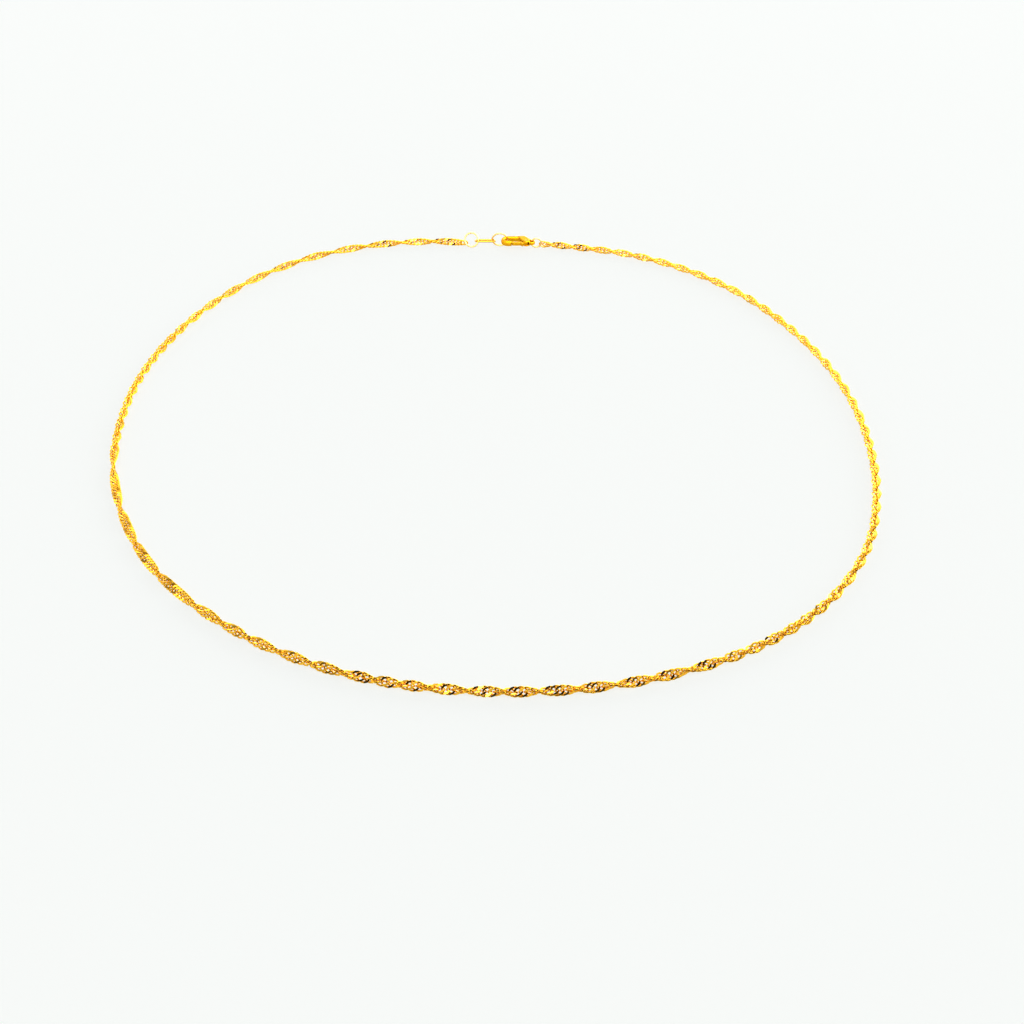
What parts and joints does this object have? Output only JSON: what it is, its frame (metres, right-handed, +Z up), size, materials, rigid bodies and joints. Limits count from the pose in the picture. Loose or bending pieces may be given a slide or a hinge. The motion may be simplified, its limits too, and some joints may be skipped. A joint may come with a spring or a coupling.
{
  "type": "necklace chain",
  "caption": "Fine twisted curb necklace chain of diamond-cut interlocked links, lying in a round loop, closed by a lobster clasp with a sprung lever.",
  "frame": {"origin": "on the surface that the chain lies on, under the middle of the loop", "axes": "+Z up, +Y towards the clasp at the back of the loop, +X from the clasp's hook to its tail"},
  "size_m": [0.1418, 0.1427, 0.0039],
  "materials": {
    "chain_gold": "bright diamond-cut yellow gold",
    "ring_gold": "bright polished yellow gold wire",
    "clasp_gold": "polished cast yellow gold"
  },
  "bodies": {
    "necklace": {"chain": "chain_gold", "end_ring": "ring_gold", "connector_link": "ring_gold", "catch_ring": "ring_gold", "clasp_body": "clasp_gold", "clasp_pin": "clasp_gold", "tail_ring": "ring_gold"},
    "lever": {"clasp_lever": "clasp_gold"}
  },
  "joints": [
    {"name": "lever_hinge", "type": "hinge", "parent": "necklace", "child": "lever", "pos_m": [0.0076, 0.06865, 0.00145], "axis": [0, 0, -1], "range_deg": [0, 22], "stiffness_Nm_per_rad": 0.002, "springref_deg": -17.19}
  ]
}
